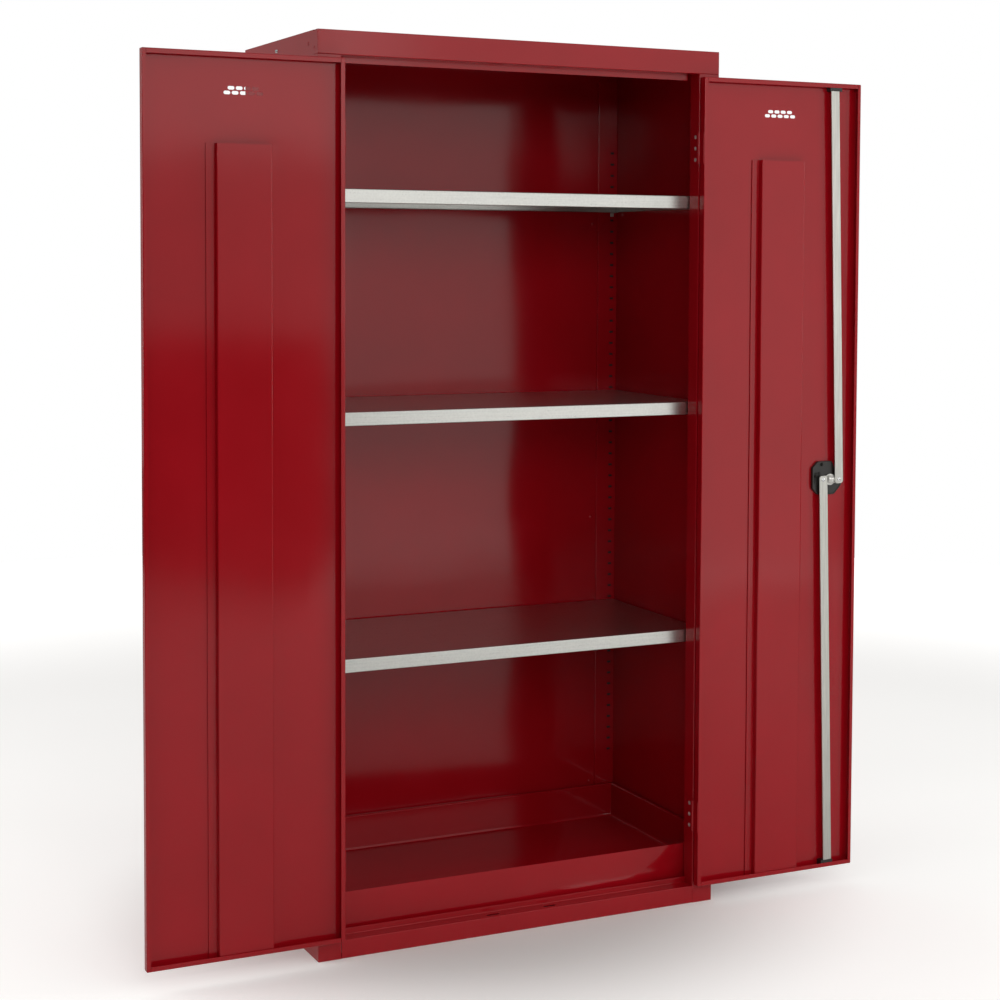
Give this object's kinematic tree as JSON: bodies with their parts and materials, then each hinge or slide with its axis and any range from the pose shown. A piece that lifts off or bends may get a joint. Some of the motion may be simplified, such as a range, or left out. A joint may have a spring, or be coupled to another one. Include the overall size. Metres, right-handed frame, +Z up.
{
  "type": "flammable storage cabinet",
  "caption": "Tall red sheet-steel safety cabinet, both doors folded back, with galvanised lift-out shelves, a spill sump and a rod lock in the right door.",
  "frame": {"origin": "floor plane under the middle of the cabinet body", "axes": "+Z up, +X to the cabinet's right as seen from the front, doors and shelves face -Y"},
  "size_m": [1.598, 0.4869, 1.83],
  "materials": {
    "red_powder_coat": "gloss powder coat",
    "galvanised_steel": "hot-dip galvanised sheet",
    "zinc_plate": "bright zinc plate",
    "bright_steel": "cold-drawn flat bar",
    "black_plastic": "moulded nylon",
    "nickel_plate": "satin nickel plate"
  },
  "bodies": {
    "cabinet": {"back_panel": "red_powder_coat", "back_panel_rivets": "red_powder_coat", "corner_rivets": "red_powder_coat", "earth_stud": "zinc_plate", "floor_panel": "red_powder_coat", "left_corner_bracket": "red_powder_coat", "left_hinge_pins": "zinc_plate", "left_hinge_screws": "zinc_plate", "left_lower_frame_leaf": "red_powder_coat", "left_rear_upright": "red_powder_coat", "left_side_panel": "red_powder_coat", "left_upper_frame_leaf": "red_powder_coat", "lower_shelf_clips": "zinc_plate", "middle_shelf_clips": "zinc_plate", "plinth": "red_powder_coat", "right_corner_bracket": "red_powder_coat", "right_hinge_pins": "zinc_plate", "right_hinge_screws": "zinc_plate", "right_lower_frame_leaf": "red_powder_coat", "right_rear_upright": "red_powder_coat", "right_side_panel": "red_powder_coat", "right_upper_frame_leaf": "red_powder_coat", "roof_panel": "red_powder_coat", "top_fascia": "red_powder_coat", "upper_shelf_clips": "zinc_plate"},
    "left_door": {"left_door_pan": "red_powder_coat", "left_door_stiffener": "red_powder_coat", "left_upper_door_leaf": "red_powder_coat", "left_lower_door_leaf": "red_powder_coat"},
    "right_door": {"right_door_pan": "red_powder_coat", "right_door_stiffener": "red_powder_coat", "right_upper_door_leaf": "red_powder_coat", "right_lower_door_leaf": "red_powder_coat", "lock_housing": "black_plastic", "housing_screws": "zinc_plate", "lock_escutcheon": "black_plastic", "upper_rod_guide": "black_plastic", "lower_rod_guide": "black_plastic"},
    "lock_handle": {"door_handle": "black_plastic", "lock_spindle": "zinc_plate", "lock_cam": "zinc_plate", "cam_screw": "zinc_plate", "rod_pins": "zinc_plate"},
    "upper_rod": {"upper_lock_rod": "bright_steel"},
    "lower_rod": {"lower_lock_rod": "bright_steel"},
    "key_cylinder": {"lock_cylinder": "nickel_plate"},
    "upper_shelf": {"upper_shelf": "galvanised_steel"},
    "middle_shelf": {"middle_shelf": "galvanised_steel"},
    "lower_shelf": {"lower_shelf": "galvanised_steel"},
    "sump": {"spill_sump": "red_powder_coat"}
  },
  "joints": [
    {"name": "left_door_hinge", "type": "hinge", "parent": "cabinet", "child": "left_door", "pos_m": [-0.39985, -0.2325, 0.9085], "axis": [0, 0, 1], "range_deg": [0, 180]},
    {"name": "right_door_hinge", "type": "hinge", "parent": "cabinet", "child": "right_door", "pos_m": [0.39985, -0.2325, 0.9085], "axis": [0, 0, -1], "range_deg": [0, 180]},
    {"name": "handle_turn", "type": "hinge", "parent": "right_door", "child": "lock_handle", "pos_m": [0.7347, -0.24, 0.907], "axis": [0, -1, 0], "range_deg": [0, 90]},
    {"name": "upper_rod_pin", "type": "hinge", "parent": "lock_handle", "child": "upper_rod", "pos_m": [0.7552, -0.2495, 0.907], "axis": [0, -1, 0], "range_deg": [-91.5, 0]},
    {"name": "lower_rod_pin", "type": "hinge", "parent": "lock_handle", "child": "lower_rod", "pos_m": [0.7142, -0.2495, 0.907], "axis": [0, -1, 0], "range_deg": [-91.5, 0]},
    {"name": "key_turn", "type": "hinge", "parent": "right_door", "child": "key_cylinder", "pos_m": [0.7347, -0.235, 0.931], "axis": [0, -1, 0], "range_deg": [0, 90]},
    {"name": "upper_shelf_lift", "type": "slide", "parent": "cabinet", "child": "upper_shelf", "axis": [0, 0, 1], "range_m": [0, 0.03]},
    {"name": "middle_shelf_lift", "type": "slide", "parent": "cabinet", "child": "middle_shelf", "axis": [0, 0, 1], "range_m": [0, 0.03]},
    {"name": "lower_shelf_lift", "type": "slide", "parent": "cabinet", "child": "lower_shelf", "axis": [0, 0, 1], "range_m": [0, 0.03]},
    {"name": "sump_lift", "type": "slide", "parent": "cabinet", "child": "sump", "axis": [0, 0, 1], "range_m": [0, 0.04]}
  ],
  "couplings": [
    {"joint": "upper_rod_pin", "follows": "handle_turn", "ratio": -1.0154},
    {"joint": "lower_rod_pin", "follows": "handle_turn", "ratio": -1.0154}
  ]
}
